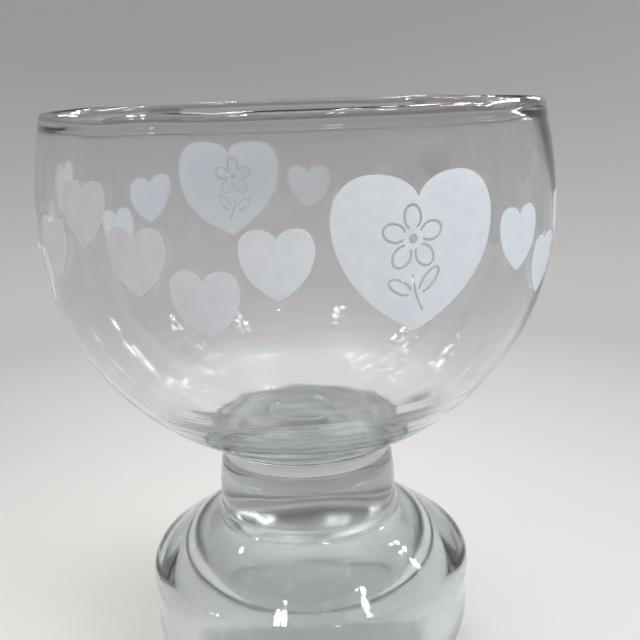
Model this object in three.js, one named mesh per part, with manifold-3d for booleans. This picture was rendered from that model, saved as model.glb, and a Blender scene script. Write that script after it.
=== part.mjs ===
// A dessert glass: a blown round bowl, hot-fused to a pressed hollow foot, with a band of hearts
// printed round the bowl in white enamel. Millimetres, +Z up. The origin is the centre of the
// circle that the foot stands on.
import * as THREE from 'three';
import { mergeVertices } from 'three/addons/utils/BufferGeometryUtils.js';
import Module from 'manifold-3d';

const degrees = THREE.MathUtils.degToRad;

// The whole glass
const HEIGHT = 125;
const AROUND = 52; // facets round every turned surface
const SEAM_GAP = 0.05; // left between the two glass pieces where they meet

// Bowl: a sphere below its widest circle and a flatter curve above it
const BOWL_RADIUS = 52.8;
const BOWL_WIDEST_Z = HEIGHT - 22.5;
const UPPER_CURVE_RADIUS = 86;
const WALL = 1.9;
const BEAD_HEIGHT = 2.8; // the melted edge of the rim is thicker than the wall
const BEAD_WIDTH = 2.5;
const FLOOR_Z = HEIGHT - 67.3; // top of the thick bottom
const FLOOR_EDGE_RADIUS = 31; // where the wall starts to thicken into the bottom
const FLOOR_FLATNESS = 4.2; // power of the curve from the wall to the flat bottom
const DIMPLE_RADIUS = 8; // plunger mark in the middle of the bottom
const DIMPLE_DEPTH = 0.5;
const DIMPLE_SIDE = 1.5; // how far its sloping side reaches in
const BOWL_STEPS = {
  neck: 1, undercut: 3, lower: 11, upper: 4, bead: 8, innerUpper: 3, innerLower: 7, floor: 4,
};

// Neck, between bowl and foot
const NECK_TOP_RADIUS = 18.9;
const NECK_BASE_RADIUS = 19.8;
const NECK_BULGE = 0.4; // outwards, halfway down the neck
const UNDERCUT_RADIUS = 5; // round hollow corner under the bowl
const SEAM_Z = HEIGHT - 78.6; // where foot and bowl are fused
const COLLAR_RADIUS = 3.6; // round hollow corner where the neck meets the foot

// Foot: a sloping top, a round shoulder, a shallow waist and a skirt with a large lower corner
const SHOULDER_RADIUS = 36.5;
const SHOULDER_Z = HEIGHT - 102.6;
const SHOULDER_ROUNDING = 4;
const TOP_SLOPE = degrees(34.6);
const WAIST_DEPTH = 0.35;
const SKIRT_RADIUS = 36.25;
const SKIRT_Z = 11;
const CORNER_ROUNDING = 12;
const RING_INNER_RADIUS = 27.5; // inner edge of the flat ring that the glass stands on
const RING_EDGE_ROUNDING = 1.5;
const HOLLOW_SPRING_RADIUS = 25.8; // where the hollow's wall turns into its domed top
const HOLLOW_SPRING_Z = 21.5;
const HOLLOW_TOP_Z = 35;
const FOOT_STEPS = { neck: 2, collar: 3, shoulder: 4, waist: 5, corner: 5, ringEdge: 2, hollow: 7 };

// Enamel hearts, at angles from the front, which is -Y, towards +X
const ENAMEL_GAP = 0.05;
const ENAMEL_THICKNESS = 0.15;
const LARGE_HEART = { width: 28.8, height: 25.6, steps: 5 }; // steps for each of its six curves
const SMALL_HEART = { width: 11.9, height: 11.4, steps: 3 };
const LARGE_HEART_Z = HEIGHT - 23;
const LARGE_HEART_ANGLES = [21.1, 201.1];
const SMALL_LEVELS = { high: HEIGHT - 16.4, mid: HEIGHT - 23.4, low: HEIGHT - 29.9 };
const SMALL_SEQUENCE = [
  'mid', 'low', 'mid', 'high', 'mid', 'low', 'mid', 'high', 'mid', 'low', 'mid',
];
const SMALL_FIRST_ANGLE = 24.9; // from a large heart's middle to the first small one

// A flower left clear in a large heart, as open lines, measured from the heart's middle
const LINE_WIDTH = 0.45;
const FLOWER_MIDDLE = [-1.2, 2.6];
const PETALS = 5;
const PETAL = { reach: 3.4, length: 1.9, width: 1.45 };
const FOOT_OPENING = 30; // degrees left open each side of a petal's or a leaf's foot
const EYE_RADIUS = 0.8;
const STEM = [[-1.2, -3.4], [-0.9, -6.2], [0.9, -9.4]];
const LEAVES = [
  { foot: [-1.5, -6.2], turn: 150, length: 2.2, width: 1.0 },
  { foot: [0.2, -6.1], turn: 50, length: 2.4, width: 1.0 },
];
const LINE_STEPS = 5;

const wasm = await Module();
wasm.setup();

const point = (x, y) => new THREE.Vector2(x, y);

// Points of a curve given as a function of 0 to 1, both ends included
function curve(at, steps) {
  const points = [];
  for (let i = 0; i <= steps; i++) points.push(at(i / steps));
  return points;
}

function arc(centre, radius, from, to, steps) {
  return curve((t) => {
    const angle = from + (to - from) * t;
    return point(centre.x + radius * Math.cos(angle), centre.y + radius * Math.sin(angle));
  }, steps);
}

// Turns a profile about Z. Its points go up the outside, so that the faces point outwards.
function turn(profile) {
  const spaced = profile.filter((p, i) => i === 0 || p.distanceTo(profile[i - 1]) > 1e-3);
  const geometry = new THREE.LatheGeometry(spaced, AROUND);
  geometry.rotateX(Math.PI / 2);
  return geometry;
}

// Merges a closed geometry's shared vertices and makes it a solid that can be cut
function solid(geometry) {
  const bare = geometry.clone();
  bare.deleteAttribute('normal');
  bare.deleteAttribute('uv');
  const merged = mergeVertices(bare, 1e-3);
  return new wasm.Manifold(new wasm.Mesh({
    numProp: 3,
    vertProperties: merged.attributes.position.array,
    triVerts: new Uint32Array(merged.index.array),
  }));
}

function geometryOf(manifold) {
  const mesh = manifold.getMesh();
  const geometry = new THREE.BufferGeometry();
  geometry.setAttribute('position', new THREE.BufferAttribute(mesh.vertProperties, 3));
  geometry.setIndex(new THREE.BufferAttribute(mesh.triVerts, 1));
  geometry.computeVertexNormals();
  return geometry;
}

const bowlMiddle = point(0, BOWL_WIDEST_Z);
const upperCentre = point(BOWL_RADIUS - UPPER_CURVE_RADIUS, BOWL_WIDEST_Z);
const underBeadAngle = Math.asin((HEIGHT - BEAD_HEIGHT - BOWL_WIDEST_Z) / UPPER_CURVE_RADIUS);

// Centre of the round hollow corner that touches both the top of the neck and the bowl
const undercutCentre = (() => {
  const radius = NECK_TOP_RADIUS + UNDERCUT_RADIUS;
  const reach = BOWL_RADIUS + UNDERCUT_RADIUS;
  return point(radius, BOWL_WIDEST_Z - Math.sqrt(reach * reach - radius * radius));
})();
const undercutAngle = Math.atan2(undercutCentre.y - BOWL_WIDEST_Z, undercutCentre.x);

// Centre of the foot's shoulder rounding, and of the hollow corner that touches both the base of
// the neck and the slope, which runs down from that corner to the shoulder's rounding
const shoulderCentre = point(SHOULDER_RADIUS - SHOULDER_ROUNDING, SHOULDER_Z);
const collarCentre = (() => {
  const radius = NECK_BASE_RADIUS + COLLAR_RADIUS;
  const slopeRise = (shoulderCentre.x - radius) * Math.tan(TOP_SLOPE);
  const apart = (SHOULDER_ROUNDING + COLLAR_RADIUS) / Math.cos(TOP_SLOPE);
  return point(radius, shoulderCentre.y + slopeRise + apart);
})();

// A stretch of the neck's slightly bulging side, from one height to another
function neckSide(fromZ, toZ, steps) {
  return curve((t) => {
    const z = fromZ + (toZ - fromZ) * t;
    const down = (undercutCentre.y - z) / (undercutCentre.y - collarCentre.y);
    const taper = NECK_TOP_RADIUS + (NECK_BASE_RADIUS - NECK_TOP_RADIUS) * down;
    return point(taper + NECK_BULGE * Math.sin(Math.PI * down), z);
  }, steps);
}

// The bowl's outer side from the hollow corner up to just under the bead, grown by an offset
function bowlOutside(offset) {
  const lower = BOWL_RADIUS + offset;
  const upper = UPPER_CURVE_RADIUS + offset;
  return [
    ...arc(bowlMiddle, lower, undercutAngle, 0, BOWL_STEPS.lower),
    ...arc(upperCentre, upper, 0, underBeadAngle, BOWL_STEPS.upper),
  ];
}

// The round melted edge: out from the wall's outer side, over the top and back to its inner side
function rimBead() {
  const middleZ = HEIGHT - BEAD_HEIGHT / 2;
  const rise = middleZ - BOWL_WIDEST_Z;
  const outer = upperCentre.x + Math.sqrt(UPPER_CURVE_RADIUS ** 2 - rise ** 2);
  const across = BEAD_WIDTH / 2;
  return curve((t) => {
    const angle = degrees(-45 + 270 * t);
    const radius = outer - across + across * Math.cos(angle);
    return point(radius, middleZ + BEAD_HEIGHT / 2 * Math.sin(angle));
  }, BOWL_STEPS.bead);
}

// The bowl's inner side from just under the bead down to the middle of its floor
function bowlInside() {
  const upper = UPPER_CURVE_RADIUS - WALL;
  const lower = BOWL_RADIUS - WALL;
  const startAngle = Math.asin((HEIGHT - BEAD_HEIGHT - BOWL_WIDEST_Z) / upper);
  const endAngle = -Math.acos(FLOOR_EDGE_RADIUS / lower);
  const edgeZ = BOWL_WIDEST_Z + lower * Math.sin(endAngle);
  const floor = (t) => {
    const radius = FLOOR_EDGE_RADIUS + (DIMPLE_RADIUS - FLOOR_EDGE_RADIUS) * t;
    const rise = (radius / FLOOR_EDGE_RADIUS) ** FLOOR_FLATNESS;
    return point(radius, FLOOR_Z + (edgeZ - FLOOR_Z) * rise);
  };
  return [
    ...arc(upperCentre, upper, startAngle, 0, BOWL_STEPS.innerUpper),
    ...arc(bowlMiddle, lower, 0, endAngle, BOWL_STEPS.innerLower),
    ...curve(floor, BOWL_STEPS.floor),
    point(DIMPLE_RADIUS - DIMPLE_SIDE, FLOOR_Z - DIMPLE_DEPTH),
    point(0, FLOOR_Z - DIMPLE_DEPTH),
  ];
}

function bowlProfile() {
  const undercutEnd = Math.PI + undercutAngle;
  return [
    point(0, SEAM_Z + SEAM_GAP),
    ...neckSide(SEAM_Z + SEAM_GAP, undercutCentre.y, BOWL_STEPS.neck),
    ...arc(undercutCentre, UNDERCUT_RADIUS, Math.PI, undercutEnd, BOWL_STEPS.undercut),
    ...bowlOutside(0),
    ...rimBead(),
    ...bowlInside(),
  ];
}

// The foot's outer side from the middle of its top down to the ring that it stands on
function footOutside() {
  const slopeNormal = Math.PI / 2 - TOP_SLOPE;
  const corner = point(SKIRT_RADIUS - CORNER_ROUNDING, SKIRT_Z);
  const waist = (t) => {
    const side = SHOULDER_RADIUS + (SKIRT_RADIUS - SHOULDER_RADIUS) * t;
    const drawnIn = WAIST_DEPTH * Math.sin(Math.PI * t) ** 2;
    return point(side - drawnIn, SHOULDER_Z + (SKIRT_Z - SHOULDER_Z) * t);
  };
  const cornerEnd = -Math.asin(SKIRT_Z / CORNER_ROUNDING);
  return [
    point(0, SEAM_Z),
    ...neckSide(SEAM_Z, collarCentre.y, FOOT_STEPS.neck),
    ...arc(collarCentre, COLLAR_RADIUS, Math.PI, Math.PI + slopeNormal, FOOT_STEPS.collar),
    ...arc(shoulderCentre, SHOULDER_ROUNDING, slopeNormal, 0, FOOT_STEPS.shoulder),
    ...curve(waist, FOOT_STEPS.waist),
    ...arc(corner, CORNER_ROUNDING, 0, cornerEnd, FOOT_STEPS.corner),
  ];
}

// The hollow under the foot, from the ring up to the middle of its domed top
function footHollow() {
  const edge = point(RING_INNER_RADIUS, RING_EDGE_ROUNDING);
  const dome = (t) => {
    const angle = Math.PI / 2 * t;
    const rise = (HOLLOW_TOP_Z - HOLLOW_SPRING_Z) * Math.sin(angle);
    return point(HOLLOW_SPRING_RADIUS * Math.cos(angle), HOLLOW_SPRING_Z + rise);
  };
  return [
    ...arc(edge, RING_EDGE_ROUNDING, -Math.PI / 2, -Math.PI, FOOT_STEPS.ringEdge),
    ...curve(dome, FOOT_STEPS.hollow),
  ];
}

// A heart's outline about its middle: round lobes, a notch, and gently curved sides to a point
function heartShape({ width, height }) {
  const shape = new THREE.Shape();
  const to = (...parts) => {
    const [a, b, c, d, e, f] = parts.map((v, i) => (i % 2 ? (0.5 - v) * height : v * width));
    shape.bezierCurveTo(a, b, c, d, e, f);
  };
  shape.moveTo(0, 0.35 * height);
  to(0.03, 0.06, 0.13, 0, 0.265, 0);
  to(0.4, 0, 0.5, 0.11, 0.5, 0.28);
  to(0.5, 0.52, 0.2, 0.74, 0, 1);
  to(-0.2, 0.74, -0.5, 0.52, -0.5, 0.28);
  to(-0.5, 0.11, -0.4, 0, -0.265, 0);
  to(-0.13, 0, -0.03, 0.06, 0, 0.15);
  return shape;
}

// A line of even width along a curve, as an outline that runs anticlockwise, as a hole's does
function line(at) {
  const along = curve(at, LINE_STEPS);
  const side = (sign) => along.map((p, i) => {
    const before = along[Math.max(i - 1, 0)];
    const after = along[Math.min(i + 1, along.length - 1)];
    const across = after.clone().sub(before).normalize().rotateAround(point(0, 0), Math.PI / 2);
    return p.clone().addScaledVector(across, sign * LINE_WIDTH / 2);
  });
  return new THREE.Path([...side(-1), ...side(1).reverse()]);
}

// A petal or a leaf: an ellipse that points away from its foot, where it is left open
function openEllipse(foot, angle, reach, length, width) {
  return line((t) => {
    const along = degrees((180 - FOOT_OPENING) * (2 * t - 1));
    const drawn = point(reach + length * Math.cos(along), width * Math.sin(along));
    return drawn.rotateAround(point(0, 0), degrees(angle)).add(foot);
  });
}

function flowerLines() {
  const middle = point(...FLOWER_MIDDLE);
  const lines = [new THREE.Path(arc(middle, EYE_RADIUS, 0, 2 * Math.PI * (1 - 1 / PETALS), PETALS - 1))];
  for (let i = 0; i < PETALS; i++) {
    const angle = 90 + 360 / PETALS * i;
    lines.push(openEllipse(middle, angle, PETAL.reach, PETAL.length, PETAL.width));
  }
  for (const { foot, turn: angle, length, width } of LEAVES) {
    lines.push(openEllipse(point(...foot), angle, length, length, width));
  }
  const bend = new THREE.QuadraticBezierCurve(...STEM.map(([x, y]) => point(x, y)));
  lines.push(line((t) => bend.getPoint(t)));
  return lines;
}

// The thin layer, just outside the bowl's wall and with its facets, that the enamel is cut from
const enamelLayer = (() => {
  const outer = bowlOutside(ENAMEL_GAP + ENAMEL_THICKNESS);
  const inner = bowlOutside(ENAMEL_GAP).reverse();
  return solid(turn([...outer, ...inner, outer[0]]));
})();

function addPiece(name, geometry, look) {
  const mesh = new THREE.Mesh(geometry, new THREE.MeshStandardMaterial(look));
  mesh.name = name;
  glass.add(mesh);
}

// A printed heart, facing outwards at an angle from the front
function addHeart(name, size, angle, z, clearLines = []) {
  const shape = heartShape(size);
  shape.holes = clearLines;
  const plate = new THREE.ExtrudeGeometry(shape, {
    depth: BOWL_RADIUS / 2,
    bevelEnabled: false,
    curveSegments: size.steps,
  });
  plate.rotateX(Math.PI / 2);
  plate.translate(0, -BOWL_RADIUS * 0.7, z);
  plate.rotateZ(degrees(angle));
  addPiece(name, geometryOf(solid(plate).intersect(enamelLayer)), ENAMEL);
}

const GLASS = { roughness: 0.03, metalness: 0, transparent: true, opacity: 0.35 };
const ENAMEL = { color: 0xe9eaec, roughness: 0.45, metalness: 0 };

const glass = new THREE.Group();
addPiece('bowl', turn(bowlProfile()), { ...GLASS, color: 0xdfe3e2 });
addPiece('foot', turn([...footOutside(), ...footHollow()].reverse()), { ...GLASS, color: 0xcfdcd6 });

const smallStep = (180 - 2 * SMALL_FIRST_ANGLE) / (SMALL_SEQUENCE.length - 1);
LARGE_HEART_ANGLES.forEach((angle, half) => {
  addHeart(`heart_large_${half + 1}`, LARGE_HEART, angle, LARGE_HEART_Z, flowerLines());
  SMALL_SEQUENCE.forEach((level, i) => {
    const number = String(half * SMALL_SEQUENCE.length + i + 1).padStart(2, '0');
    const smallAngle = angle + SMALL_FIRST_ANGLE + smallStep * i;
    addHeart(`heart_small_${number}`, SMALL_HEART, smallAngle, SMALL_LEVELS[level]);
  });
});

export default glass;
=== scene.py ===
import math

import bpy
import numpy as np
from mathutils import Matrix, Vector
from mathutils.geometry import delaunay_2d_cdt


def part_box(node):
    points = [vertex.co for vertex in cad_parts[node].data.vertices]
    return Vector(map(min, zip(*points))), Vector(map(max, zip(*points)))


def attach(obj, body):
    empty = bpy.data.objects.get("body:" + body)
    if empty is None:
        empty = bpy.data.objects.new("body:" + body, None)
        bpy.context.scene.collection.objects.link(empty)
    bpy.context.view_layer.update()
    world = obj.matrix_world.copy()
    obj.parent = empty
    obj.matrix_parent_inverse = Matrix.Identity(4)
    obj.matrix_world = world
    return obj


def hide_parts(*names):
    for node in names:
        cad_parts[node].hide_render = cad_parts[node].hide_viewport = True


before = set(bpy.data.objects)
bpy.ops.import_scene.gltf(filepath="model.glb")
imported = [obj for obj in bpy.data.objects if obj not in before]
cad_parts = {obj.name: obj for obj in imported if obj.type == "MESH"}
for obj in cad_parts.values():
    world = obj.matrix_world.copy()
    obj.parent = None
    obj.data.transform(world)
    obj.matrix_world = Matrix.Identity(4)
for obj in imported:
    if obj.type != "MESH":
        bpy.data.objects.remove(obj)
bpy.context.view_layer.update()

MM = 0.001
AROUND = 256  # faces round every turned surface
SAME_POINT = 1e-4  # points of a profile this close together are one

# Sizes that the frame gives
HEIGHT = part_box("bowl")[1].z / MM
BOWL_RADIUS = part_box("bowl")[1].x / MM
SEAM_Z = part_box("foot")[1].z / MM
SHOULDER_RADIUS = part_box("foot")[1].x / MM

# Bowl
BOWL_WIDEST_Z = HEIGHT - 22.5
UPPER_CURVE_RADIUS = 86
WALL = 1.9
# dark_height: how far down from the top the bead's faces take the rim's dark tint, which is painted
# shade
BEAD = {"half_height": 1.4, "width": 2.5, "outward": 0.2, "spread": 1.15, "dark_height": 1.9}
FLOOR_Z = HEIGHT - 67.3
THICK_GLASS_Z = HEIGHT - 61.5  # below here the bottom is thick, faintly green and less clear
FLOOR_EDGE_RADIUS = 31
FLOOR_FLATNESS = 4.2
DIMPLE = {"radius": 8, "depth": 0.5, "side": 0.9}
BOWL_DETAIL = {  # steps or points along each part of the profile
    "seam": 8, "neck": 8, "undercut": 12, "outside": 160, "upper": 32, "bead": 19,
    "inside": 44, "floor": 52,
}

# Neck and foot
NECK_TOP_RADIUS = 18.9
NECK_BASE_RADIUS = 19.8
NECK_BULGE = 0.4
NECK_REACH = 1.6  # furthest that the neck's outside is from its radius at the top
UNDERCUT_RADIUS = 5
SEAM_GAP = 0.05
EDGE = 0.02  # how far round a sharp edge its shading reaches
COLLAR_RADIUS = 3.6
SHOULDER_Z = HEIGHT - 102.6
SHOULDER_ROUNDING = 4
TOP_SLOPE = math.radians(34.6)
SLOPE_SWELL = 0.3  # how far fire polishing leaves the slope's middle rounded
WAIST_DEPTH = 0.35
SKIRT_RADIUS = 36.25
SKIRT_Z = 11
CORNER_ROUNDING = 12
RING_INNER_RADIUS = 27.5
RING_EDGE_ROUNDING = 1.5
HOLLOW_SPRING_RADIUS = 25.8
HOLLOW_SPRING_Z = 21.5
HOLLOW_TOP_Z = 35
HOLLOW_MARGIN = 0.5  # from the ring's inner edge to where the hollow's own finish starts
FOOT_DETAIL = {
    "seam": 8, "neck": 12, "collar": 16, "slope": 16, "shoulder": 18, "waist": 24, "corner": 24,
    "ring_edge": 8, "hollow_side": 14, "hollow_top": 40,
}

# Unevenness of hand-finished glass, as waves round it: (waves in a turn, height, phase). Each fade
# below is the distance over which an unevenness comes in.
RIM_WAVES = [(2, 0.07, 0.4), (5, 0.06, 2.1), (9, 0.07, 5.2), (13, 0.06, 1.3), (17, 0.04, 3.7)]
WALL_WAVES = [(2, 0.06, 1.9), (3, 0.07, 0.3), (7, 0.04, 4.4), (11, 0.025, 2.8)]
FOOT_WAVES = [(3, 0.03, 0.9), (5, 0.025, 3.3), (8, 0.015, 5.6)]
WALL_TWIST = 0.02  # how far these waves turn in a millimetre of height, in radians
FOOT_TWIST = 0.03
WALL_WAVES_Z = FLOOR_Z - 4  # the wall's waves start here
WALL_WAVES_FADE = 10
FOOT_WAVES_FADE = 6  # from the ring and from the seam

# Dents in the bowl's floor, as crossing waves: (turn along X, turn along Y, phase)
FLOOR_DENTS = [(0.61, 0.12, 0.3), (-0.25, 0.55, 1.7), (0.38, -0.42, 4.1), (0.16, 0.83, 2.6)]
FLOOR_DENT_HEIGHT = 0.07
FLOOR_DENT_FADE = 6
FLOOR_MARGIN = 2  # points lower than this under the floor are not on it

# Faint turned rings on the bowl's underside: (distance apart, height)
UNDERSIDE_RINGS = [(1.3, 0.008), (1.9, 0.012), (3.1, 0.02)]
RINGS_INNER_RADIUS = NECK_TOP_RADIUS + 2
RINGS_INNER_FADE = 3
RINGS_TOP_Z = HEIGHT - 48
RINGS_TOP_FADE = 14
RINGS_WANDER = 0.6  # how far a ring strays from level, in radians of its wave

# Glass. The tint and the share of a lamp's light that passes are for each surface that is crossed.
# The rim and the neck look darkest on the real glass, because their thick glass shows the dark
# surroundings bent into view. Their tints are darkened here to stand in for that: painted shade.
# A layer of bumps is its features per metre, its stretch along each axis and its depth in metres.
BLOWN_BUMPS = [(38, (1, 1, 1), 0.00016), (260, (1, 1, 0.5), 0.000002)]
PRESSED_BUMPS = [(60, (1, 1, 1), 0.00020), (420, (1, 1, 1), 0.000005)]
GLASS = {
    "bowl_glass": {
        "tint": (0.92, 0.92, 0.925), "passes": 0.97,
        "roughness": (0.02, 0.06), "bumps": BLOWN_BUMPS,
    },
    # Dark tint on the rim's bead: painted shade for the dark surroundings that the bead shows
    "rim_glass": {
        "tint": (0.49, 0.46, 0.47), "passes": 0.9,
        "roughness": (0.01, 0.04), "bumps": BLOWN_BUMPS,
    },
    "bottom_glass": {
        "tint": (0.95, 0.99, 0.985), "passes": 0.95,
        "roughness": (0.07, 0.15), "bumps": BLOWN_BUMPS,
    },
    # Dark tint on the neck: painted shade for the dark surroundings that the solid neck shows
    "neck_glass": {
        "tint": (0.54, 0.555, 0.54), "passes": 0.8,
        "roughness": (0.02, 0.05), "bumps": BLOWN_BUMPS,
    },
    "foot_glass": {
        "tint": (0.80, 0.85, 0.845), "passes": 0.7,
        "roughness": (0.03, 0.09), "bumps": PRESSED_BUMPS,
    },
    "hollow_glass": {
        "tint": (0.76, 0.77, 0.765), "passes": 0.4,
        "roughness": (0.12, 0.28), "bumps": PRESSED_BUMPS,
    },
}
ROUGHNESS_SCALE = 70  # patches per metre
REFRACTION = 1.5
SEAM_TINT = (0.92, 0.925, 0.92, 1)
SEAM_TOLERANCE = 1e-6  # metres
LEVEL = 0.999  # a face is level when its normal is at least this upright

# Soft lamps, in metres and watts. The glass doesn't show them.
ON_GLASS = (0, 0, 0.07)
SOFT_LAMPS = {
    "top": {
        "place": (0, 0.1, 1.5), "aim": (0, 0, 0), "size": (1.1, 1.1),
        "power": 8, "colour": (1, 0.97, 0.94),
    },
    "key": {
        "place": (1.1, -0.64, 0.9), "aim": ON_GLASS, "size": (0.7, 0.7),
        "power": 19.5, "colour": (0.90, 0.965, 1),
    },
    "fill": {
        "place": (-1.0, -0.7, 0.7), "aim": ON_GLASS, "size": (0.6, 0.8),
        "power": 6, "colour": (1, 0.76, 0.5),
    },
    "back": {
        "place": (-0.2, 1.2, 0.9), "aim": ON_GLASS, "size": (0.9, 0.6),
        "power": 19, "colour": (1, 0.98, 0.96),
    },
}

# Sparkle lamps, which the glass shows as small lights: azimuth and elevation in degrees and colour
# of each cluster, the lamps' steps within one, and their distance and size in metres
COOL, WARM = (0.93, 0.97, 1), (1, 0.93, 0.8)
BULB_CLUSTERS = [
    (112, 35, COOL), (66, 58, COOL), (122, 48, WARM), (138, 30, COOL), (144, 38, COOL),
    (161, 42, COOL), (157, 64, COOL), (-113, 47, COOL), (-127, 46, COOL), (-160, 54, COOL),
    (-150, 22, COOL), (-40, 62, COOL), (22, 52, WARM), (-78, 34, COOL), (150, 12, COOL),
    (156, 18, COOL), (163, 27, COOL), (-170, 34, COOL),
]
CLUSTER_STEPS = [(-3, 0), (3, 1.5), (-0.5, 5)]
BULB_DISTANCE = 0.85
BULB_RADIUS = 0.0185
BULB_POWER = 0.75  # watts

# Floor and backdrop
STAGE_RADIUS = 900
STAGE_CURVE = 350
STAGE_HEIGHT = 430
STAGE_GAP = 0.1  # below the glass, so that the two don't share a plane
STAGE_RINGS = (0.25, 0.5, 0.75)  # rings on the flat part, as shares of its radius
STAGE_AROUND = 96
STAGE_CURVE_STEPS = 24
STAGE_TONES = (0.52, 0.52, 0.52, 1), (0.33, 0.327, 0.33, 1)  # near the glass and far from it
STAGE_TONE_RANGE = (0.06, 0.28)  # metres from the middle, between which the tone changes

# Surroundings by the sine of the elevation: pale to 14 degrees, dim and brownish from 21 to 49, and
# pale again above 72
SURROUNDINGS = [
    (0.24, (0.45, 0.45, 0.45)), (0.36, (0.09, 0.084, 0.081)),
    (0.75, (0.09, 0.084, 0.081)), (0.95, (0.9, 0.9, 0.9)),
]

# Camera, in degrees and millimetres
CAMERA = {
    "pitch": 15.402, "roll": -1.888, "yaw": 1.254, "place": (0, -182.19, 128.52),
    "lens": 48.435, "sensor": 36,
}

# Enamel. The scales of its noise are in features per metre.
ENAMEL_GAP = 0.015
ENAMEL_THICKNESS = 0.045
ENAMEL_TONES = (0.74, 0.765, 0.80, 1), (0.79, 0.81, 0.84, 1)
ENAMEL_ROUGHNESS = (0.34, 0.5)
ENAMEL_BUMP_DEPTH = 0.00001  # metres
ENAMEL_NOISE = {
    "tone": {"scale": 420, "detail": 4},
    "roughness": {"scale": 900, "detail": 2},
    "bump": {"scale": 1500, "detail": 3},
}
ENAMEL_THROUGH = 0.4  # share of its look that is light from behind
ENAMEL_GRID = 0.9  # spacing of the points inside a heart
ROW_SPACING = 0.87  # of the spacing, which makes the triangles even
EDGE_CLEARANCE = 0.45  # of the spacing, from a point inside to the heart's edge
TIP_HEIGHT = 0.01  # corners this close to a heart's lowest one are its tip
MERGE_DISTANCE = 1e-6
CURVE_STEPS = {"large": 26, "small": 14}

# A flower left clear in each large heart, measured from the heart's middle
LINE_WIDTH = 0.45
FLOWER_MIDDLE = (-1.2, 2.6)
PETALS = 5
PETAL = {"reach": 3.4, "length": 1.9, "width": 1.45}
FOOT_OPENING = 30  # degrees left open each side of a petal's or a leaf's foot
EYE_RADIUS = 0.8
EYE_STEPS = 12
STEM = ((-1.2, -3.4), (-0.9, -6.2), (0.9, -9.4))
LEAVES = (
    {"foot": (-1.5, -6.2), "angle": 150, "reach": 2.2, "length": 2.2, "width": 1.0},
    {"foot": (0.2, -6.1), "angle": 50, "reach": 2.4, "length": 2.4, "width": 1.0},
)
LINE_STEPS = 22
LINE_END_STEPS = 6


def smooth(t):
    """0 below 0, 1 above 1, and an even S between them."""
    t = np.clip(t, 0, 1)
    return t * t * (3 - 2 * t)


def arc(centre, radius, start, end, steps):
    angles = np.linspace(start, end, steps + 1)
    return [(centre[0] + radius * math.cos(a), centre[1] + radius * math.sin(a)) for a in angles]


def waves(angle, parts):
    return sum(height * np.sin(count * angle + phase) for count, height, phase in parts)


def turned_radius(z, offset):
    """Radius of the bowl's plain curve at height z, moved outwards by offset."""
    z = np.asarray(z, float)
    lower = np.sqrt(np.maximum((BOWL_RADIUS + offset) ** 2 - (BOWL_WIDEST_Z - z) ** 2, 0))
    upper_centre = BOWL_RADIUS - UPPER_CURVE_RADIUS
    upper = upper_centre + np.sqrt((UPPER_CURVE_RADIUS + offset) ** 2 - (z - BOWL_WIDEST_Z) ** 2)
    return np.where(z < BOWL_WIDEST_Z, lower, upper)


def bead_bulge(z):
    """0 to 1: how much of the melted edge's extra thickness there is at height z."""
    middle = HEIGHT - BEAD["half_height"]
    return np.exp(-(((np.minimum(z, middle) - middle) / BEAD["spread"]) ** 2))


def outer_radius(z):
    return turned_radius(z, 0) + BEAD["outward"] * bead_bulge(z)


def inner_radius(z):
    extra = BEAD["width"] - WALL - BEAD["outward"]
    return turned_radius(z, -WALL) - extra * bead_bulge(z)


def neck_frame():
    """Middles of the hollow corners above and below the neck."""
    reach = BOWL_RADIUS + UNDERCUT_RADIUS
    under_r = NECK_TOP_RADIUS + UNDERCUT_RADIUS
    undercut = (under_r, BOWL_WIDEST_Z - math.sqrt(reach**2 - under_r**2))
    collar_r = NECK_BASE_RADIUS + COLLAR_RADIUS
    rise = (SHOULDER_RADIUS - SHOULDER_ROUNDING - collar_r) * math.tan(TOP_SLOPE)
    apart = (SHOULDER_ROUNDING + COLLAR_RADIUS) / math.cos(TOP_SLOPE)
    return undercut, (collar_r, SHOULDER_Z + rise + apart)


def neck_radius(z):
    undercut, collar = neck_frame()
    t = (undercut[1] - z) / (undercut[1] - collar[1])
    plain = NECK_TOP_RADIUS + (NECK_BASE_RADIUS - NECK_TOP_RADIUS) * t
    return plain + NECK_BULGE * math.sin(math.pi * t)


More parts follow.
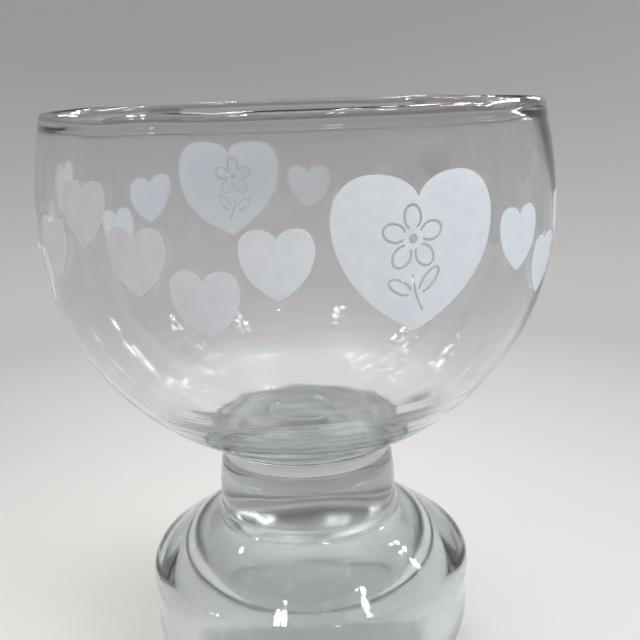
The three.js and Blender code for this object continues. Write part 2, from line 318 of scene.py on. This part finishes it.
def bowl_profile():
    """From the middle of the seam, round the outside and over the rim, to the inside's middle."""
    undercut = neck_frame()[0]
    meet = math.atan2(undercut[1] - BOWL_WIDEST_Z, undercut[0])
    seam = SEAM_Z + SEAM_GAP
    points = [(r, seam) for r in np.linspace(0, neck_radius(seam), BOWL_DETAIL["seam"])]
    neck_heights = np.linspace(seam + EDGE, undercut[1], BOWL_DETAIL["neck"])[:-1]
    points += [(neck_radius(z), z) for z in neck_heights]
    points += arc(undercut, UNDERCUT_RADIUS, math.pi, math.pi + meet, BOWL_DETAIL["undercut"])
    points += arc((0, BOWL_WIDEST_Z), BOWL_RADIUS, meet, 0, BOWL_DETAIL["outside"])[1:]
    middle = HEIGHT - BEAD["half_height"]
    heights = np.linspace(BOWL_WIDEST_Z, middle, BOWL_DETAIL["upper"])[1:]
    points += [(float(outer_radius(z)), z) for z in heights]
    outside, inside = float(outer_radius(middle)), float(inner_radius(middle))
    across, centre = (outside - inside) / 2, (outside + inside) / 2
    for a in np.linspace(0, math.pi, BOWL_DETAIL["bead"])[1:]:
        points.append((centre + across * math.cos(a), middle + BEAD["half_height"] * math.sin(a)))
    points += [(float(inner_radius(z)), z) for z in heights[::-1][1:]]
    end = -math.acos(FLOOR_EDGE_RADIUS / (BOWL_RADIUS - WALL))
    points += arc((0, BOWL_WIDEST_Z), BOWL_RADIUS - WALL, 0, end, BOWL_DETAIL["inside"])
    edge_z = points[-1][1]
    for r in np.linspace(FLOOR_EDGE_RADIUS, 0, BOWL_DETAIL["floor"])[1:]:
        rise = (r / FLOOR_EDGE_RADIUS) ** FLOOR_FLATNESS
        dip = smooth((DIMPLE["radius"] - r) / DIMPLE["side"])
        points.append((r, FLOOR_Z + (edge_z - FLOOR_Z) * rise - DIMPLE["depth"] * float(dip)))
    return points


def foot_profile():
    """From the hollow's middle down its side, under the ring, and up the outside to the seam."""
    shoulder = (SHOULDER_RADIUS - SHOULDER_ROUNDING, SHOULDER_Z)
    normal = math.pi / 2 - TOP_SLOPE
    collar = neck_frame()[1]
    corner = (SKIRT_RADIUS - CORNER_ROUNDING, SKIRT_Z)
    corner_end = -math.asin(SKIRT_Z / CORNER_ROUNDING)
    edge = (RING_INNER_RADIUS, RING_EDGE_ROUNDING)

    down = [(r, SEAM_Z) for r in np.linspace(0, neck_radius(SEAM_Z), FOOT_DETAIL["seam"])]
    neck_heights = np.linspace(SEAM_Z - EDGE, collar[1], FOOT_DETAIL["neck"])[:-1]
    down += [(neck_radius(z), z) for z in neck_heights]
    down += arc(collar, COLLAR_RADIUS, math.pi, math.pi + normal, FOOT_DETAIL["collar"])
    slope_start = down[-1]
    slope_end = arc(shoulder, SHOULDER_ROUNDING, normal, normal, 1)[0]
    for t in np.linspace(0, 1, FOOT_DETAIL["slope"])[1:-1]:
        swell = SLOPE_SWELL * math.sin(math.pi * t)
        r = slope_start[0] + (slope_end[0] - slope_start[0]) * t + swell * math.cos(normal)
        z = slope_start[1] + (slope_end[1] - slope_start[1]) * t + swell * math.sin(normal)
        down.append((r, z))
    down += arc(shoulder, SHOULDER_ROUNDING, normal, 0, FOOT_DETAIL["shoulder"])
    for t in np.linspace(0, 1, FOOT_DETAIL["waist"])[1:-1]:
        side = SHOULDER_RADIUS + (SKIRT_RADIUS - SHOULDER_RADIUS) * t
        drawn_in = WAIST_DEPTH * math.sin(math.pi * t) ** 2
        down.append((side - drawn_in, SHOULDER_Z + (SKIRT_Z - SHOULDER_Z) * t))
    down += arc(corner, CORNER_ROUNDING, 0, corner_end, FOOT_DETAIL["corner"])
    down += arc(edge, RING_EDGE_ROUNDING, -math.pi / 2, -math.pi, FOOT_DETAIL["ring_edge"])
    spring = (HOLLOW_SPRING_RADIUS, HOLLOW_SPRING_Z)
    down += [tuple(p) for p in np.linspace(down[-1], spring, FOOT_DETAIL["hollow_side"])[1:-1]]
    for a in np.linspace(0, math.pi / 2, FOOT_DETAIL["hollow_top"]):
        rise = (HOLLOW_TOP_Z - HOLLOW_SPRING_Z) * math.sin(a)
        down.append((HOLLOW_SPRING_RADIUS * math.cos(a), HOLLOW_SPRING_Z + rise))
    return down[::-1]


def bowl_unevenness(angle, r, z):
    """The rim, the inside and the underside are uneven. The outside only moves inwards and down."""
    inside = r < turned_radius(z, -WALL / 2)
    above_floor = smooth((z - WALL_WAVES_Z) / WALL_WAVES_FADE)
    wall = waves(angle + WALL_TWIST * z, WALL_WAVES)
    grow = np.where(inside, wall * above_floor, 0 * wall)
    near_rim = smooth((z - BOWL_WIDEST_Z) / (HEIGHT - BOWL_WIDEST_Z))
    drop = sum(height for _, height, _ in RIM_WAVES)
    lift = near_rim * (waves(angle, RIM_WAVES) - drop)
    on_floor = inside * smooth((FLOOR_EDGE_RADIUS - r) / FLOOR_DENT_FADE)
    on_floor = on_floor * (z > FLOOR_Z - FLOOR_MARGIN)
    x, y = r * np.sin(angle), r * np.cos(angle)
    dents = sum(np.sin(along * x + across * y + phase) for along, across, phase in FLOOR_DENTS)
    outward = smooth((r - RINGS_INNER_RADIUS) / RINGS_INNER_FADE)
    underneath = ~inside * outward * smooth((RINGS_TOP_Z - z) / RINGS_TOP_FADE)
    rings = 0
    for apart, height in UNDERSIDE_RINGS:
        wander = RINGS_WANDER * np.sin(angle + apart)
        rings = rings + height * (np.sin(2 * math.pi * z / apart + wander) - 1)
    return grow + underneath * rings, lift + FLOOR_DENT_HEIGHT * on_floor * dents


def foot_unevenness(angle, r, z):
    """The foot is slightly uneven, but not at its two ends. Its widest parts only move inwards."""
    drop = sum(height for _, height, _ in FOOT_WAVES)
    clear_of_ends = smooth(z / FOOT_WAVES_FADE) * smooth((SEAM_Z - z) / FOOT_WAVES_FADE)
    grow = clear_of_ends * (waves(angle + FOOT_TWIST * z, FOOT_WAVES) - drop)
    return np.where(r > HOLLOW_SPRING_RADIUS, grow, -grow) * (r > 0), 0 * grow


def turn(name, profile, unevenness):
    """A closed mesh turned about Z. unevenness(angle, r, z) says how far points move out and up."""
    kept = [i for i in range(1, len(profile)) if math.dist(profile[i], profile[i - 1]) > SAME_POINT]
    profile = [profile[i] for i in [0, *kept]]
    angles = np.arange(AROUND) * 2 * math.pi / AROUND
    radii = np.array([p[0] for p in profile[1:-1]])[:, None]
    heights = np.array([p[1] for p in profile[1:-1]])[:, None]
    grow, lift = unevenness(angles[None, :], radii, heights)
    radii = radii + grow
    heights = heights + lift
    rows = np.stack([radii * np.sin(angles), -radii * np.cos(angles), heights], -1)
    ends = [[0, 0, profile[0][1]], [0, 0, profile[-1][1]]]
    verts = np.concatenate([rows.reshape(-1, 3), ends]) * MM
    count = len(profile) - 2
    first_end, last_end = count * AROUND, count * AROUND + 1
    faces = []
    for j in range(AROUND):
        k = (j + 1) % AROUND
        for i in range(count - 1):
            a, b = i * AROUND, (i + 1) * AROUND
            faces.append((a + j, a + k, b + k, b + j))
        last_row = (count - 1) * AROUND
        faces.append((first_end, k, j))
        faces.append((last_end, last_row + j, last_row + k))
    mesh = bpy.data.meshes.new(name)
    mesh.from_pydata(verts.tolist(), [], faces)
    mesh.polygons.foreach_set("use_smooth", [True] * len(mesh.polygons))
    mesh.update()
    return link(name, mesh)


def link(name, data):
    obj = bpy.data.objects.new(name, data)
    bpy.context.scene.collection.objects.link(obj)
    return obj


class Nodes:
    """A short way to add and join a material's nodes."""

    def __init__(self, name):
        self.material = bpy.data.materials.new(name)
        self.material.use_nodes = True
        self.tree = self.material.node_tree
        self.shader = self.tree.nodes["Principled BSDF"]
        self.output = self.tree.nodes["Material Output"]

    def add(self, kind, **settings):
        node = self.tree.nodes.new("ShaderNode" + kind)
        for key, value in settings.items():
            setattr(node, key, value)
        return node

    def join(self, source, target):
        self.tree.links.new(source, target)

    def noise(self, scale, detail=2.0, stretch=(1, 1, 1)):
        """Noise from 0 to 1 that is fixed to the object, with scale in features per metre."""
        place = self.add("TexCoord")
        mapping = self.add("Mapping")
        mapping.inputs["Scale"].default_value = stretch
        noise = self.add("TexNoise")
        noise.inputs["Scale"].default_value = scale
        noise.inputs["Detail"].default_value = detail
        self.join(place.outputs["Object"], mapping.inputs["Vector"])
        self.join(mapping.outputs["Vector"], noise.inputs["Vector"])
        return noise.outputs["Fac"]

    def spread(self, value, low, high, start=0.3, end=0.7):
        """Maps a value from the range start to end onto low to high."""
        node = self.add("MapRange")
        limits = {"From Min": start, "From Max": end, "To Min": low, "To Max": high}
        for key, setting in limits.items():
            node.inputs[key].default_value = setting
        self.join(value, node.inputs["Value"])
        return node.outputs["Result"]

    def bump(self, layers):
        """Bumps from (height value, depth in metres) pairs, one on top of the other."""
        normal = None
        for height, depth in layers:
            node = self.add("Bump")
            node.inputs["Distance"].default_value = depth
            self.join(height, node.inputs["Height"])
            if normal:
                self.join(normal, node.inputs["Normal"])
            normal = node.outputs["Normal"]
        self.join(normal, self.shader.inputs["Normal"])


def glass_material(name, tint, passes, roughness, bumps):
    """Clear glass, which lets a share of the lamps' light through, so its shadow is a soft grey."""
    m = Nodes(name)
    m.shader.inputs["Base Color"].default_value = (*tint, 1)
    m.shader.inputs["Transmission Weight"].default_value = 1
    m.shader.inputs["IOR"].default_value = REFRACTION
    m.join(m.spread(m.noise(ROUGHNESS_SCALE), *roughness), m.shader.inputs["Roughness"])
    m.bump([(m.noise(scale, 0, stretch), depth) for scale, stretch, depth in bumps])
    path = m.add("LightPath")
    clear = m.add("BsdfTransparent")
    clear.inputs["Color"].default_value = (passes, passes, passes, 1)
    mix = m.add("MixShader")
    m.join(path.outputs["Is Shadow Ray"], mix.inputs[0])
    m.join(m.shader.outputs[0], mix.inputs[1])
    m.join(clear.outputs[0], mix.inputs[2])
    m.join(mix.outputs[0], m.output.inputs["Surface"])
    return m.material


def seam_material():
    """Clear with a faint tint, for the faces at the seam: the fused glass shows no mirror there."""
    m = Nodes("fused_seam")
    m.tree.nodes.remove(m.shader)
    clear = m.add("BsdfTransparent")
    clear.inputs["Color"].default_value = SEAM_TINT
    m.join(clear.outputs[0], m.output.inputs["Surface"])
    return m.material


def enamel_material():
    """Fired white enamel: satin, a little uneven, and thin enough for some light to pass."""
    m = Nodes("white_enamel")
    tone = m.add("Mix", data_type="RGBA")
    tone.inputs["A"].default_value, tone.inputs["B"].default_value = ENAMEL_TONES
    m.join(m.spread(m.noise(**ENAMEL_NOISE["tone"]), 0, 1), tone.inputs["Factor"])
    m.join(tone.outputs["Result"], m.shader.inputs["Base Color"])
    rough = m.spread(m.noise(**ENAMEL_NOISE["roughness"]), *ENAMEL_ROUGHNESS)
    m.join(rough, m.shader.inputs["Roughness"])
    m.bump([(m.noise(**ENAMEL_NOISE["bump"]), ENAMEL_BUMP_DEPTH)])
    through = m.add("BsdfTranslucent")
    m.join(tone.outputs["Result"], through.inputs["Color"])
    mix = m.add("MixShader")
    mix.inputs[0].default_value = ENAMEL_THROUGH
    m.join(m.shader.outputs[0], mix.inputs[1])
    m.join(through.outputs[0], mix.inputs[2])
    m.join(mix.outputs[0], m.output.inputs["Surface"])
    return m.material


def on_seam(face, z):
    return abs(face.center.z - z * MM) < SEAM_TOLERANCE and abs(face.normal.z) > LEVEL


def on_neck(face):
    """Whether a face is on the outside of the neck, above the foot's collar."""
    undercut, collar = neck_frame()
    from_neck = math.hypot(face.center.x, face.center.y) / MM - NECK_TOP_RADIUS
    return collar[1] * MM < face.center.z < undercut[1] * MM and abs(from_neck) < NECK_REACH


def glass_of_bowl(face):
    if on_seam(face, SEAM_Z + SEAM_GAP):
        return "fused_seam"
    # The top of the bead gets a dark tint, which is painted shade
    if face.center.z > (HEIGHT - BEAD["dark_height"]) * MM:
        return "rim_glass"
    # The neck gets a dark tint, which is painted shade
    if on_neck(face):
        return "neck_glass"
    if face.center.z < THICK_GLASS_Z * MM:
        return "bottom_glass"
    return "bowl_glass"


def glass_of_foot(face):
    in_reach = math.hypot(face.center.x, face.center.y) < (RING_INNER_RADIUS - HOLLOW_MARGIN) * MM
    if on_seam(face, SEAM_Z):
        return "fused_seam"
    # The neck gets a dark tint, which is painted shade
    if on_neck(face):
        return "neck_glass"
    if in_reach and (face.normal.z < 0 or face.center.z < HOLLOW_SPRING_Z * MM):
        return "hollow_glass"
    return "foot_glass"


def dress(obj, kinds, materials, glass_of):
    """Gives each face of a glass piece the material of its kind. kinds lists the piece's kinds."""
    for kind in kinds:
        obj.data.materials.append(materials[kind])
    for face in obj.data.polygons:
        face.material_index = kinds.index(glass_of(face))


def make_glass():
    materials = {name: glass_material(name, **kind) for name, kind in GLASS.items()}
    materials["fused_seam"] = seam_material()
    bowl = turn("bowl_glass", bowl_profile(), bowl_unevenness)
    bowl_kinds = ["bowl_glass", "fused_seam", "rim_glass", "bottom_glass", "neck_glass"]
    dress(bowl, bowl_kinds, materials, glass_of_bowl)
    foot = turn("foot_glass", foot_profile(), foot_unevenness)
    foot_kinds = ["foot_glass", "fused_seam", "hollow_glass", "neck_glass"]
    dress(foot, foot_kinds, materials, glass_of_foot)
    for obj in (bowl, foot):
        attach(obj, "root")
        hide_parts(obj.name.removesuffix("_glass"))


def bezier(points, steps):
    """Points of a cubic curve, without its last one."""
    t = np.arange(steps)[:, None] / steps
    a, b, c, d = (np.array(p) for p in points)
    return (1 - t) ** 3 * a + 3 * t * (1 - t) ** 2 * b + 3 * t**2 * (1 - t) * c + t**3 * d


def heart_outline(width, height, steps):
    """Round lobes, a notch, and full round sides to a blunt point, clockwise about the middle."""
    half = [
        ((0, 0.15), (0.03, 0.06), (0.13, 0), (0.265, 0)),
        ((0.265, 0), (0.4, 0), (0.5, 0.11), (0.5, 0.28)),
        ((0.5, 0.28), (0.5, 0.56), (0.32, 0.83), (0, 1)),
    ]
    other = [tuple((-x, y) for x, y in curve[::-1]) for curve in half[::-1]]
    points = np.concatenate([bezier(curve, steps) for curve in half + other])
    return np.stack([points[:, 0] * width, (0.5 - points[:, 1]) * height], -1)


def line_outline(middle):
    """The outline of a line of even width with round ends, along the given points."""
    ahead = np.gradient(middle, axis=0)
    ahead /= np.linalg.norm(ahead, axis=1)[:, None]
    across = np.stack([-ahead[:, 1], ahead[:, 0]], -1) * LINE_WIDTH / 2
    ends = []
    for point, direction in ((middle[-1], 1), (middle[0], -1)):
        side = across[-1] if direction == 1 else -across[0]
        forward = np.array([side[1], -side[0]])
        turn_angles = np.linspace(0, math.pi, LINE_END_STEPS + 1)[1:-1]
        ends.append([point + side * math.cos(a) + forward * math.sin(a) for a in turn_angles])
    return np.concatenate([middle + across, ends[0], (middle - across)[::-1], ends[1]])


def open_ellipse(foot, angle, reach, length, width):
    """A petal or a leaf: an ellipse with its middle at reach from its foot, and open towards it."""
    along = np.radians((180 - FOOT_OPENING) * np.linspace(-1, 1, LINE_STEPS + 1))
    x, y = reach + length * np.cos(along), width * np.sin(along)
    turned = math.radians(angle)
    return np.stack([
        foot[0] + x * math.cos(turned) - y * math.sin(turned),
        foot[1] + x * math.sin(turned) + y * math.cos(turned),
    ], -1)


def flower_outlines():
    angles = np.arange(EYE_STEPS) * 2 * math.pi / EYE_STEPS
    eye = np.stack([np.cos(angles), np.sin(angles)], -1) * EYE_RADIUS + FLOWER_MIDDLE
    middles = []
    for i in range(PETALS):
        angle = 90 + 360 / PETALS * i
        middles.append(open_ellipse(FLOWER_MIDDLE, angle, **PETAL))
    for leaf in LEAVES:
        middles.append(open_ellipse(**leaf))
    t = np.linspace(0, 1, LINE_STEPS + 1)[:, None]
    a, b, c = (np.array(p) for p in STEM)
    middles.append((1 - t) ** 2 * a + 2 * t * (1 - t) * b + t**2 * c)
    return [eye] + [line_outline(middle) for middle in middles]


def is_inside(points, outline):
    """Which of the points lie inside a closed outline."""
    x, y = points[:, 0:1], points[:, 1:2]
    x1, y1 = outline[:, 0], outline[:, 1]
    x2, y2 = np.roll(x1, -1), np.roll(y1, -1)
    crosses = (y1 > y) != (y2 > y)
    with np.errstate(divide="ignore", invalid="ignore"):
        at = (x2 - x1) * (y - y1) / (y2 - y1) + x1
    return np.count_nonzero(crosses & (x < at), axis=1) % 2 == 1


def flat_mesh(outline, holes):
    """Points and triangles that fill an outline with holes, with evenly spaced points inside."""
    spacing = ENAMEL_GRID
    edges_at = np.concatenate([outline, *holes])
    low, high = outline.min(0), outline.max(0)
    xs = np.arange(low[0] + spacing / 2, high[0], spacing)
    ys = np.arange(low[1] + spacing / 2, high[1], spacing * ROW_SPACING)
    grid = np.array([(x + spacing / 2 * (j % 2), y) for j, y in enumerate(ys) for x in xs])
    keep = is_inside(grid, outline)
    for hole in holes:
        keep &= ~is_inside(grid, hole)
    apart = np.linalg.norm(grid[:, None] - edges_at[None], axis=2).min(1)
    grid = grid[keep & (apart > spacing * EDGE_CLEARANCE)]
    points = [Vector(p) for p in np.concatenate([edges_at, grid])]
    edges = []
    start = 0
    for loop in [outline, *holes]:
        count = len(loop)
        edges += [(start + i, start + (i + 1) % count) for i in range(count)]
        start += count
    whole_hull = 0  # the kind of result: triangles that fill the convex hull
    found, _, triangles, *_ = delaunay_2d_cdt(points, edges, [], whole_hull, MERGE_DISTANCE)
    found = np.array([tuple(p) for p in found])
    triangles = np.array([t for t in triangles if len(t) == 3])
    middles = found[triangles].mean(1)
    keep = is_inside(middles, outline)
    for hole in holes:
        keep &= ~is_inside(middles, hole)
    return found, triangles[keep]


def printed(name, points, triangles, place):
    """A thin closed layer on the bowl's outside, from a flat mesh and the place that it faces."""
    edge_count = {}
    for t in triangles:
        for a, b in ((t[0], t[1]), (t[1], t[2]), (t[2], t[0])):
            edge_count[(a, b)] = edge_count.get((a, b), 0) + 1
    border = [(a, b) for a, b in edge_count if (b, a) not in edge_count]
    z = place["z"] + points[:, 1]
    turned = place["angle"]

    def layer(height):
        r = turned_radius(z, 0) + height
        x, y = points[:, 0], -np.sqrt(r**2 - points[:, 0] ** 2)
        return np.stack([
            x * math.cos(turned) - y * math.sin(turned),
            x * math.sin(turned) + y * math.cos(turned),
            z,
        ], -1)

    verts = np.concatenate([layer(ENAMEL_GAP + ENAMEL_THICKNESS), layer(ENAMEL_GAP)]) * MM
    count = len(points)
    outer = [tuple(int(v) for v in t) for t in triangles]
    inner = [(c + count, b + count, a + count) for a, b, c in outer]
    sides = [(int(b), int(a), int(a) + count, int(b) + count) for a, b in border]
    mesh = bpy.data.meshes.new(name)
    mesh.from_pydata(verts.tolist(), [], outer + inner + sides)
    mesh.update()
    return link(name, mesh)


def heart_place(node):
    """Where a CAD heart faces, and its size, from its own corners: its point is its lowest one."""
    corners = np.array([v.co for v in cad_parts[node].data.vertices]) / MM
    lowest = corners[corners[:, 2] < corners[:, 2].min() + TIP_HEIGHT].mean(0)
    angle = math.atan2(lowest[0], -lowest[1])
    across = corners[:, 0] * math.cos(angle) + corners[:, 1] * math.sin(angle)
    low, high = corners[:, 2].min(), corners[:, 2].max()
    return {"angle": angle, "z": (low + high) / 2, "width": np.ptp(across), "height": high - low}


def make_hearts():
    enamel = enamel_material()
    flat = {}
    for node in sorted(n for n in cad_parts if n.startswith("heart")):
        kind = "large" if "large" in node else "small"
        place = heart_place(node)
        if kind not in flat:
            outline = heart_outline(place["width"], place["height"], CURVE_STEPS[kind])
            holes = flower_outlines() if kind == "large" else []
            flat[kind] = flat_mesh(outline, holes)
        obj = printed(node + "_print", *flat[kind], place)
        obj.data.materials.append(enamel)
        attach(obj, "root")
        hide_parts(node)


def make_camera():
    """The photograph's camera, solved from the bowl's outline."""
    pitch, roll, yaw = (math.radians(CAMERA[key]) for key in ("pitch", "roll", "yaw"))
    right = Vector((math.cos(yaw), -math.sin(yaw), 0))
    level = Vector((math.sin(yaw), math.cos(yaw), 0))
    ahead = level * math.cos(pitch) - Vector((0, 0, math.sin(pitch)))
    up = right.cross(ahead)
    turned_right = right * math.cos(roll) + up * math.sin(roll)
    turned_up = up * math.cos(roll) - right * math.sin(roll)
    data = bpy.data.cameras.new("camera")
    data.lens = CAMERA["lens"]
    data.sensor_width = CAMERA["sensor"]
    data.clip_start = 0.01
    camera = link("camera", data)
    rotation = Matrix((turned_right, turned_up, -ahead)).transposed()
    camera.matrix_world = Matrix.Translation(Vector(CAMERA["place"]) * MM) @ rotation.to_4x4()
    bpy.context.scene.camera = camera


def make_stage():
    """A round floor that curves up into a wall all round the glass, and is greyer there."""
    curve_middle = (STAGE_RADIUS - STAGE_CURVE, STAGE_CURVE)
    profile = [(curve_middle[0] * t, 0) for t in STAGE_RINGS]
    profile += arc(curve_middle, STAGE_CURVE, -math.pi / 2, 0, STAGE_CURVE_STEPS)
    profile += [(STAGE_RADIUS, STAGE_HEIGHT)]
    count = STAGE_AROUND
    angles = np.arange(count) * 2 * math.pi / count
    rows = [(r * math.sin(a), -r * math.cos(a), z) for r, z in profile for a in angles]
    verts = [(x * MM, y * MM, z * MM) for x, y, z in rows]
    verts.append((0, 0, 0))
    faces = [(len(verts) - 1, j, (j + 1) % count) for j in range(count)]
    for i in range(len(profile) - 1):
        a, b = i * count, (i + 1) * count
        for j in range(count):
            k = (j + 1) % count
            faces.append((a + j, b + j, b + k, a + k))
    mesh = bpy.data.meshes.new("floor")
    mesh.from_pydata(verts, [], faces)
    mesh.polygons.foreach_set("use_smooth", [True] * len(mesh.polygons))
    floor = link("floor", mesh)
    floor.location.z = -STAGE_GAP * MM
    m = Nodes("floor")
    far = m.add("VectorMath", operation="LENGTH")
    m.join(m.add("TexCoord").outputs["Object"], far.inputs[0])
    tone = m.add("Mix", data_type="RGBA")
    tone.inputs["A"].default_value, tone.inputs["B"].default_value = STAGE_TONES
    m.join(m.spread(far.outputs["Value"], 0, 1, *STAGE_TONE_RANGE), tone.inputs["Factor"])
    m.join(tone.outputs["Result"], m.shader.inputs["Base Color"])
    m.shader.inputs["Roughness"].default_value = 1
    m.shader.inputs["Specular IOR Level"].default_value = 0
    mesh.materials.append(m.material)


def make_world():
    """A room that differs with height only: see SURROUNDINGS."""
    world = bpy.data.worlds.new("world")
    bpy.context.scene.world = world
    world.use_nodes = True
    tree = world.node_tree
    place = tree.nodes.new("ShaderNodeTexCoord")
    split = tree.nodes.new("ShaderNodeSeparateXYZ")
    ramp = tree.nodes.new("ShaderNodeValToRGB")
    elements = ramp.color_ramp.elements
    while len(elements) < len(SURROUNDINGS):
        elements.new(0.5)
    for element, (position, colour) in zip(elements, SURROUNDINGS):
        element.position = position
        element.color = (*colour, 1)
    tree.links.new(place.outputs["Generated"], split.inputs[0])
    tree.links.new(split.outputs["Z"], ramp.inputs[0])
    tree.links.new(ramp.outputs[0], tree.nodes["Background"].inputs["Color"])


def soft_lamp(name, place, aim, size, power, colour):
    data = bpy.data.lights.new(name, "AREA")
    data.shape = "RECTANGLE"
    data.size, data.size_y = size
    data.energy = power
    data.color = colour
    lamp = link(name, data)
    lamp.location = place
    lamp.rotation_euler = (Vector(aim) - Vector(place)).to_track_quat("-Z", "Y").to_euler()
    lamp.visible_glossy = False
    lamp.visible_transmission = False


def bulb(name, place, colour):
    """A small lamp, which the glass shows as a sparkle. It doesn't light the floor."""
    data = bpy.data.lights.new(name, "POINT")
    data.shadow_soft_size = BULB_RADIUS
    data.energy = BULB_POWER
    data.color = colour
    lamp = link(name, data)
    lamp.location = place
    lamp.visible_camera = False
    lamp.visible_diffuse = False


def from_angles(azimuth, elevation, distance):
    """A place seen from the bowl's middle, with azimuth from the front towards +X, in degrees."""
    a, e = math.radians(azimuth), math.radians(elevation)
    flat = distance * math.cos(e)
    up = distance * math.sin(e) + BOWL_WIDEST_Z * MM
    return Vector((flat * math.sin(a), -flat * math.cos(a), up))


def make_lights():
    for name, lamp in SOFT_LAMPS.items():
        soft_lamp(name, **lamp)
    for i, (azimuth, elevation, colour) in enumerate(BULB_CLUSTERS):
        for j, (aside, above) in enumerate(CLUSTER_STEPS):
            place = from_angles(azimuth + aside, elevation + above, BULB_DISTANCE)
            bulb(f"bulb_{i}_{j}", place, colour)


make_glass()
make_hearts()
make_camera()
make_stage()
make_world()
make_lights()
bpy.context.scene.view_settings.view_transform = "Standard"
